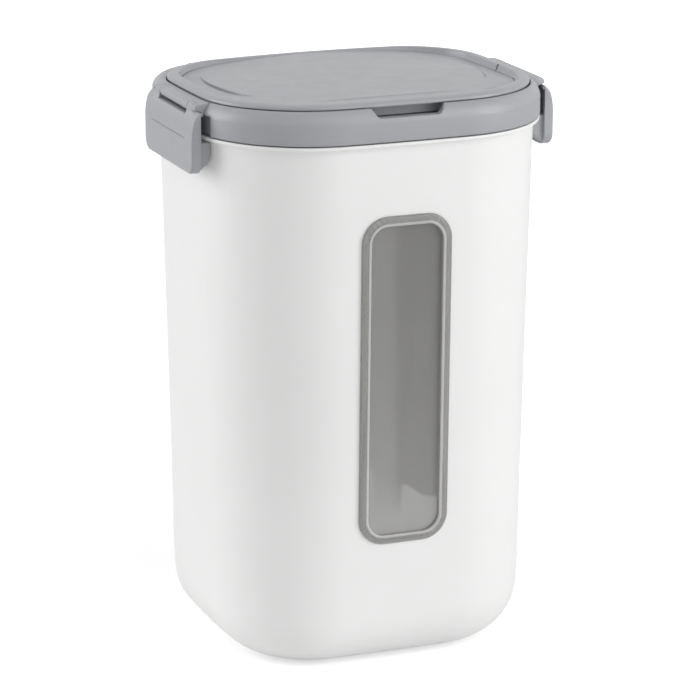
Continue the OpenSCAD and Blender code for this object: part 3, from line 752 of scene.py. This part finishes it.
# flap
flap = {"wall": 2.2, "foot": 318.9, "under": 321.0, "rise": 3.0, "rim": 7.0, "panelDepth": 2.2,
        "panelFall": 2.0, "cornerFall": 2.0, "channel": 10.0, "channelDepth": 1.3, "channelMid": 5.0,
        "channelHalf": 42.0, "groove": 0.5, "gutter": 1.0, "notchAt": -4.3, "notchHalf": 1.1,
        "notchDeep": 0.9, "wallBack": 4.0, "frontDip": 0.4, "slope": 1.3, "frontSlope": 9, "liner": 0.9,
        "bendFrom": 15, "bendFront": 5.3, "bendBack": 1.6}
# the rim's section, outside to crest: distance in, share of its height
flapRim = [(1.6, 0.09), (0.15, 0.11), (0, 0.16), (0.03, 0.34), (0.12, 0.46), (0.32, 0.59), (0.7, 0.705),
           (1.25, 0.8), (1.95, 0.875), (2.8, 0.93), (4.0, 0.98), (5.2, 1.0)]
crest = lidTop["seam"] + flap["rise"]


def panelAt(x, y):
    corner = flap["cornerFall"] * smooth(5, 85, abs(x)) * smooth(-5, 55, y)
    return crest - flap["panelDepth"] - flap["panelFall"] * (x / plan["halfWidth"]) ** 2 - corner


def sideShare(y):
    return max(0, 1 - ((y - flap["channelMid"]) / flap["channelHalf"]) ** 2)


def flapWall(st, overRecess):
    # underside, wall and foot; over the finger recess the wall stands back and hides the seal
    f = flap
    if overRecess:
        back, low, high = f["wall"] + f["wallBack"], f["foot"] + 0.2, lidTop["seam"] - 0.7
        rows = [(back + 0.6, f["under"]), (back + 0.5, low), (back - 0.1, low), (back - 0.2, high),
                (1.6, high + 0.2)]
    else:
        rows = [(f["wall"] + f["wallBack"], f["under"]), (f["wall"], f["under"]), (f["wall"], f["foot"]),
                (1.8, f["foot"]), (1.6, f["foot"] + 0.2)]
    return [(*inset(st, d), z) for d, z in rows]


def flapColumn(st):
    f = flap
    x, y, nx, ny = st
    toFront = smooth(0.5, 0.95, -ny)
    share = sideShare(y) * (1 - toFront)
    dip = f["frontDip"] * toFront * (1 - smooth(20, 62, abs(x)))
    notch = f["notchDeep"] if abs(y - f["notchAt"]) < f["notchHalf"] and abs(x) > 80 else 0

    def floorPoint(d, sink):
        px, py = inset(st, d)
        return px, py, panelAt(px, py) - sink

    col = flapWall(st, y < -40 and abs(x) < lid["recessHalf"])
    for d, k in flapRim:
        px, py = inset(st, d)
        col.append((px, py, lidTop["seam"] + k * f["rise"] - fall(px, py)))
    d0 = flapRim[-1][0]
    top = crest - fall(*inset(st, d0))
    # the rim's inner slope is gentle at the front only
    d1 = f["rim"] - 0.6 + f["slope"] + f["frontSlope"] * toFront
    channel = share * f["channelDepth"]
    low = floorPoint(d1, channel + dip)[2]
    for k in range(1, 9):
        t = k / 8
        px, py = inset(st, d0 + (d1 - d0) * t - notch * smooth(0.2, 0.5, t) * (1 - smooth(0.95, 1, t)))
        drop = smooth(0.35 * (1 - toFront), 1, t)      # rolls over at the crest and eases into the floor
        col.append((px, py, top + (low - top) * drop))
    # a narrow gutter runs along the foot of the rim
    gutter = f["gutter"] * (1 - toFront) * smooth(3, 50, abs(x))
    for d, deep in ((0.15, 0.85), (0.4, 1), (0.9, 1), (1.15, 0.85), (1.3, 0.1)):
        col.append(floorPoint(d1 + d, channel + dip + gutter * deep))
    # the channel widens away from the middle of the side
    off = y - f["bendFrom"]
    bend = min(9, f["bendFront"] * (off / 40) ** 2) if off < 0 else f["bendBack"] * min(1, (off / 21) ** 2)
    wide = f["channel"] - 2 * toFront + bend * (1 - toFront) * (1 - smooth(0.5, 0.9, ny))
    for t in (0.3, 0.6, 0.82, 0.89):
        col.append(floorPoint(d1 + wide * t, channel * (1 - 0.12 * t) + dip))
    for t, deep in ((0.915, 0.9), (0.95, 1.0), (0.985, 0.7)):
        col.append(floorPoint(d1 + wide * t, channel + share * f["groove"] * deep + dip * (1 - t) * 8))
    col += [floorPoint(d1 + wide, share * 0.15), floorPoint(d1 + wide + 0.35, 0)]
    ex, ey = inset(st, d1 + wide + 0.8)
    for k in (1, 0.86, 0.7, 0.52, 0.34, 0.16, 0.04):
        col.append((ex * k, ey * k, panelAt(ex * k, ey * k)))
    return col


def flapRings():
    half, at, side = lid["recessHalf"], -flap["notchAt"], flap["notchHalf"]
    ys = [at - side - 0.05, at - side + 0.05, at + side - 0.05, at + side + 0.05]
    stations = stationsOf(flapBackArcs, flapFrontArcs, spread(flapBackArcs, 3.0),
                          spread(flapFrontArcs, 3.0, [half - 0.1, half + 0.1], ys))
    rings = [list(r) for r in zip(*(flapColumn(st) for st in stations))]
    return softened(rings, [0, 0.3, 0.3, 0.3, 0.2] + [0] * (len(rings) - 5), closed=False, steps=3)


flapParts = [skin(flapRings())]
for s in (-1, 1):
    middle, length = s * hinge["x"], hinge["length"]
    flapParts.append(tube("x", (middle, hinge["y"], hinge["z"]), hinge["radius"], hinge["bore"], length))
    # web from the flap's back wall to the barrel
    y0, y1 = plan["halfDepth"] - flapPlan["backInset"] - flap["wall"], hinge["y"] - 1.4
    web = [(y0, hinge["z"] - 1.7), (y1, hinge["z"] - 1.7), (y1, hinge["z"] + 1.7), (y0, hinge["z"] + 1.9)]
    flapParts.append(bar(web, middle - length / 2, middle + length / 2, 0.3))
flapCover = meshObject("flap_top", flapParts)
dress(flapCover, lidGrey, "flap", "flap_cover")

linerStations = stationsOf(flapBackArcs, flapFrontArcs, spread(flapBackArcs, 5), spread(flapFrontArcs, 5))


def linerSkin():
    d0, d1 = flap["wall"] + flap["wallBack"], lid["mouthIn"] + 1
    z1, z0, low = flap["under"], flap["under"] - flap["liner"], lid["deck"] - lid["mouthLip"]
    rows = [(d0 + 5, z1, 0), (d0, z1, 0.3), (d0, z0, 0.5), (d1, z0, 0.6), (d1, low, 0.7),
            (d1 + 2, low, 0.7), (d1 + 2, z0, 0.8), (d1 + 8, z0, 0)]
    rings = [[(*inset(st, d), z) for st in linerStations] for d, z, r in rows]
    # a stiffening panel, a little sunk, fills the middle
    middle = ((0.86, 0), (0.85, -0.02), (0.84, 0.3), (0.8, 0.32), (0.4, 0.32), (0.04, 0.32))
    rings += [[(px * k, py * k, z0 + up) for px, py, z in rings[-1]] for k, up in middle]
    return skin(softened(rings, [r for d, z, r in rows] + [0] * len(middle), closed=False))


flapLiner = meshObject("flap_underside", [linerSkin()])
dress(flapLiner, linerGrey, "flap", "flap_liner")

flapSeal = {"in": 8.8, "z": 319.35, "width": 3.2, "height": 1.5, "rounding": 0.4}
flapGasket = sealAlong("flap_seal", [(*inset(st, flapSeal["in"]), flapSeal["z"]) for st in linerStations],
                       flapSeal)
dress(flapGasket, sealWhite, "flap", "flap_gasket")

# under the window's flange, a little in from its middle
windowSize = {"in": window["rim"] + 0.5, "width": 3.8, "height": window["seal"], "rounding": 0.2}
windowSeal = sealAlong("window_seal_ring", [(u, v, 0) for u, v in roundRect(
    window["width"] - windowSize["in"], window["height"] - windowSize["in"],
    window["radius"] - window["rim"] / 2)], windowSize)
for vert in windowSeal.data.vertices:
    u, v, out = vert.co / mm
    vert.co = Vector(onWall(u, v, out - window["seat"] + window["seal"] / 2)) * mm
dress(windowSeal, sealWhite, "bin", "window_seal")
print("flap and seals made")

# latches
latch = {"half": 39.5, "x": 108.4, "foot": 285.0, "corner": 7.0, "thick": 2.2, "wall": 1.9, "edge": 1.3,
         "topEase": 0.5, "returnIn": 102.9, "slotTop": 316.5, "endTop": 319.5, "scoreZ": 303.9,
         "scoreHalf": 29.0, "scoreDeep": 0.7, "earIn": 22.4, "earOut": 30.6, "earEase": 1.6, "bore": 1.05,
         "hookHalf": 37.0, "hookTop": 302.6, "hookGap": 0.5}
# outer face of the plate: height, distance out; the ears part from it near the top
faceLow = [(285, 108.4), (304.9, 108.4), (308, 108.25), (310.9, 107.9), (313, 107.4)]
plateFace = faceLow + [(314.7, 107.0), (316.1, 106.3), (317.3, 105.4), (318.3, 104.5), (319.3, 103.7),
                       (320.5, 102.9), (324, 101)]
earFace = faceLow + [(314.7, 106.9), (316.1, 106.2), (317.3, 105.65), (318.3, 105.3), (319.3, 105.05),
                     (320.5, 105.0), (321.5, 104.83), (322.5, 104.24), (323.2, 103.4)]


def faceAt(table, z):
    # smooth curve through the table
    for i in range(len(table) - 1):
        if z <= table[i + 1][0]:
            break
    (z0, x0), (z1, x1) = table[i], table[i + 1]
    before, after = table[max(i - 1, 0)], table[min(i + 2, len(table) - 1)]
    m0 = (x1 - before[1]) / (z1 - before[0]) if i else 0
    m1 = (after[1] - x0) / (after[0] - z0)
    span = z1 - z0
    t = (z - z0) / span
    return ((2 * t ** 3 - 3 * t * t + 1) * x0 + (t ** 3 - 2 * t * t + t) * span * m0
            + (3 * t * t - 2 * t ** 3) * x1 + (t ** 3 - t * t) * span * m1)


def eased(radius, edge):
    # how far a rounded edge falls back at this distance from the outline
    return radius - sqrt(max(0, radius ** 2 - (radius - max(edge, 0)) ** 2)) if edge < radius else 0


def latchSheet():
    # front sheet of a right-hand latch with its rounded edges turned in to the returns
    c = latch
    ys = [0, 4, 8, 12, 16, 19, 21, 21.7, 22.1, 22.35, 22.45, 22.9, 23.4, 24, 26.5, 29, 29.6, 30.1, 30.55,
          30.65, 30.9, 31.4, 32.5, 33.4, 34.2, 35.0, 35.35, 35.45, 35.9]
    ys += [c["half"] - c["corner"] + c["corner"] * sin(radians(a))
           for a in (34, 42, 50, 57, 63, 69, 74, 78, 82, 85, 88, 90)]
    ys = sorted(set([-y for y in ys] + ys))
    zs = [c["foot"] + v
          for v in (0, 0.1, 0.3, 0.6, 1.0, 1.5, 2.1, 2.8, 3.6, 4.6, 5.8, 7.2, 9, 11.5, 14, 16.5)]
    zs += [c["scoreZ"] + v for v in (-0.9, -0.45, -0.3, -0.15, 0, 0.15, 0.3, 0.45, 0.9)]
    zs += [306, 308, 309.5, 311, 312.5, 313.8, 314.8, 315.4, 315.8, 316.1, 316.3, 316.42, 316.5, 317, 317.6,
           318.2, 318.7, 319, 319.2, 319.35, 319.45, 319.5, 320, 320.8, 321.3, 321.5]
    grid = []
    for y in ys:
        a = abs(y)
        over = max(0, a - (c["half"] - c["corner"]))
        low = c["foot"] + c["corner"] - sqrt(max(0, c["corner"] ** 2 - over ** 2))
        isEar = c["earIn"] < a < c["earOut"]
        high = zs[-1] if isEar else (c["slotTop"] if a < c["earIn"] else c["endTop"])
        ear = smooth(c["earIn"] - c["earEase"], c["earIn"], a)
        ear *= 1 - smooth(c["earOut"], c["earOut"] + c["earEase"], a)
        col = []
        for z in zs:
            z = min(max(z, low), high)
            # distance to the rounded outline, for the eased edge
            dz, dy = z - c["foot"], c["half"] - a
            if dz < c["corner"] and dy < c["corner"]:
                edge = c["corner"] - hypot(c["corner"] - dz, c["corner"] - dy)
            else:
                edge = min(dz, dy)
            sink = eased(c["edge"], edge) + (0 if isEar else eased(c["topEase"], high - z))
            x = min(c["x"], faceAt(plateFace, z) * (1 - ear) + faceAt(earFace, z) * ear)
            line = exp(-((z - c["scoreZ"]) / 0.28) ** 2)
            line *= 1 - smooth(c["scoreHalf"] - 1.5, c["scoreHalf"], a)
            col.append((x - sink - c["scoreDeep"] * line, y, z))
        grid.append(col)
    return grid


def latchMesh(name):
    c = latch
    grid = latchSheet()
    bm = bmesh.new()
    verts = [[bm.verts.new(Vector(p) * mm) for p in col] for col in grid]
    for i in range(len(grid) - 1):
        for j in range(len(grid[0]) - 1):
            bm.faces.new((verts[i][j], verts[i + 1][j], verts[i + 1][j + 1], verts[i][j + 1]))
    bmesh.ops.remove_doubles(bm, verts=bm.verts, dist=1e-6)
    bmesh.ops.dissolve_degenerate(bm, edges=bm.edges, dist=5e-7)
    # returns: the sheet's edge goes straight in
    for share in (0.5, 1.0):
        edges = [e for e in bm.edges if e.is_boundary]
        made = bmesh.ops.extrude_edge_only(bm, edges=edges)["geom"]
        for v in [g for g in made if isinstance(g, bmesh.types.BMVert)]:
            start = v.co.x
            goal = c["returnIn"] * mm if start > (c["returnIn"] + 0.1) * mm else start - 0.05 * mm
            v.co.x = start + (goal - start) * share
    bmesh.ops.recalc_face_normals(bm, faces=bm.faces)
    front = max(bm.faces, key=lambda f: f.calc_center_median().x)
    if front.normal.x < 0:
        bmesh.ops.reverse_faces(bm, faces=bm.faces)
    mesh = bpy.data.meshes.new(name)
    bm.to_mesh(mesh)
    bm.free()
    obj = placed(name, mesh)
    wall = obj.modifiers.new("wall", "SOLIDIFY")
    wall.thickness = c["wall"] * mm
    wall.offset = -1
    wall.use_even_offset = False
    applied(obj)
    return obj


def hookSkin():
    c = latch
    rows = []
    ends = {0.0: 0.9, 0.15: 0.45, 0.6: 0.1, 1.2: 0}      # distance from the end, easing there
    ys = [v - c["hookHalf"] for v in ends] + [-32 + 4 * i for i in range(17)]
    ys += [c["hookHalf"] - v for v in reversed(ends)]
    for y in ys:
        arcs = backArcs if y > 0 else frontArcs
        t = angleWhere(arcs, 1, abs(y))
        st = (*onArcs(arcs, t), cos(t), sin(t))
        inner = st[0] - (binSize["wallIn"] - c["hookGap"]) / st[2]
        e = ends.get(round(c["hookHalf"] - abs(y), 2), 0)
        front = c["x"] - c["thick"] - 0.1
        section = [(front, c["hookTop"] - e), (inner + e, c["hookTop"] - e), (inner + e, c["foot"] + 7 + e),
                   (c["returnIn"] + e * 0.5, c["foot"] + 1.5 + e), (front, c["foot"] + 1.2 + e)]
        rows.append([(x, y, z) for x, z in section])
    rings = [list(r) for r in zip(*rows)]
    rings = softened(rings, [0, 0.8, 2.5, 1.5, 0], steps=4)
    return skin([list(r) for r in zip(*rings)])


def makeLatch(name, side):
    shell = latchMesh(name)
    parts = [hookSkin()]
    mid = (latch["earIn"] + latch["earOut"]) / 2
    for s in (-1, 1):
        points, faces = tube("y", (eave["x"], s * mid, eave["z"]), eave["radius"] - 0.02, latch["bore"],
                             latch["earOut"] - latch["earIn"] - 0.1, 0.2)
        for p in points:                               # the barrels stay under the lid's sloping top
            p.z = min(p.z, topPlane(p.x, p.y) - 0.02)
        parts.append((points, faces))
    extra = meshObject(name + "Parts", parts)
    bm = bmesh.new()
    bm.from_mesh(shell.data)
    bm.from_mesh(extra.data)
    if side < 0:
        bmesh.ops.scale(bm, vec=(-1, 1, 1), verts=bm.verts)
        bmesh.ops.reverse_faces(bm, faces=bm.faces)
    bm.to_mesh(shell.data)
    bm.free()
    bpy.data.objects.remove(extra)
    shaded(shell.data)
    return shell


for name, side, body, node in (("latch_plate_left", -1, "left_latch", "latch_left"),
                               ("latch_plate_right", 1, "right_latch", "latch_right")):
    dress(makeLatch(name, side), lidGrey, body, node)
print("latches made")

# pins stay as drawn, in drawn steel
for node, mat in (("hinge_pin_left", steelX), ("hinge_pin_right", steelX),
                  ("latch_pin_left", steelY), ("latch_pin_right", steelY)):
    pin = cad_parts[node]
    pin.data.materials.clear()
    pin.data.materials.append(mat)

# floor, light and camera
studio = {"world": 0.44, "floor": 0.86, "floorLift": 0.40, "farLift": 0.85, "liftFrom": 0.18, "liftTo": 0.8}


def studioFloor():
    bpy.ops.mesh.primitive_plane_add(size=30, location=(0, 0, 0))
    floor = bpy.context.object
    floor.name = "floor"
    mat, tree, bsdf, coord = newMaterial("paper")
    setInputs(bsdf, {"Base Color": (studio["floor"],) * 3 + (1,), "Roughness": 0.9,
                     "Specular IOR Level": 0.1, "Emission Color": (1, 1, 1, 1)})
    # the camera sees paper that whitens away from the bin, and still takes its shadow
    path, away = tree.nodes.new("ShaderNodeLightPath"), tree.nodes.new("ShaderNodeVectorMath")
    away.operation = "LENGTH"
    whiten = tree.nodes.new("ShaderNodeMapRange")
    whiten.interpolation_type = "SMOOTHSTEP"
    setInputs(whiten, {"From Min": studio["liftFrom"], "From Max": studio["liftTo"],
                       "To Min": studio["floorLift"], "To Max": studio["farLift"]})
    lift = tree.nodes.new("ShaderNodeMath")
    lift.operation = "MULTIPLY"
    wire(tree, [(coord, "Object", away, 0), (away, "Value", whiten, "Value"),
                (path, "Is Camera Ray", lift, 0), (whiten, "Result", lift, 1),
                (lift, "Value", bsdf, "Emission Strength")])
    floor.data.materials.append(mat)


def areaLight(name, place, size, power, aim=(0, 0, 0.17)):
    data = bpy.data.lights.new(name, "AREA")
    data.shape = "RECTANGLE"
    data.size, data.size_y = size
    data.energy = power
    light = placed(name, data)
    light.location = place
    light.rotation_euler = (Vector(aim) - Vector(place)).to_track_quat("-Z", "Y").to_euler()


studioFloor()
areaLight("leftPanel", (-2.0, 1.0, 0.85), (1.3, 1.8), 27)
areaLight("rightPanel", (1.6, -1.6, 0.9), (1.2, 1.7), 26.5)
areaLight("topPanel", (0.1, 0.5, 2.2), (1.5, 1.5), 1.5)
areaLight("frontPanel", (0.2, -1.7, 2.0), (1.4, 1.0), 6, (0, 0, 0.3))

world = bpy.data.worlds.new("studio")
bpy.context.scene.world = world
world.use_nodes = True
nodes = world.node_tree.nodes
background, path, strength = (nodes["Background"], nodes.new("ShaderNodeLightPath"),
                              nodes.new("ShaderNodeMapRange"))
seen, shown = nodes.new("ShaderNodeMath"), nodes.new("ShaderNodeMath")
seen.operation = shown.operation = "MAXIMUM"
setInputs(background, {"Color": (1, 1, 1, 1)})
setInputs(strength, {"To Min": studio["world"], "To Max": 1.0})
wire(world.node_tree, [(path, "Is Camera Ray", seen, 0), (path, "Is Glossy Ray", seen, 1),
                       (seen, "Value", shown, 0), (path, "Is Transmission Ray", shown, 1),
                       (shown, "Value", strength, "Value"), (strength, "Result", background, "Strength")])

# angles in degrees, focal length in pixels of a frame 700 wide
view = {"yaw": 21.93, "pitch": 15.57, "roll": 0.11, "place": (-0.7797, -1.93805, 0.74756), "focal": 3782.8,
        "sensor": 36, "frame": 700}
yaw, pitch, roll = (radians(view[k]) for k in ("yaw", "pitch", "roll"))
forward = Vector((sin(yaw) * cos(pitch), cos(yaw) * cos(pitch), -sin(pitch)))
right = Vector((cos(yaw), -sin(yaw), 0))
up = right.cross(forward)
right, up = right * cos(roll) + up * sin(roll), up * cos(roll) - right * sin(roll)
camera = placed("camera", bpy.data.cameras.new("camera"))
camera.matrix_world = Matrix([(right[i], up[i], -forward[i], view["place"][i]) for i in range(3)]
                             + [(0, 0, 0, 1)])
camera.data.sensor_width = view["sensor"]
camera.data.lens = view["focal"] * view["sensor"] / view["frame"]
bpy.context.scene.camera = camera
bpy.context.scene.view_settings.view_transform = "Standard"
print("studio ready")
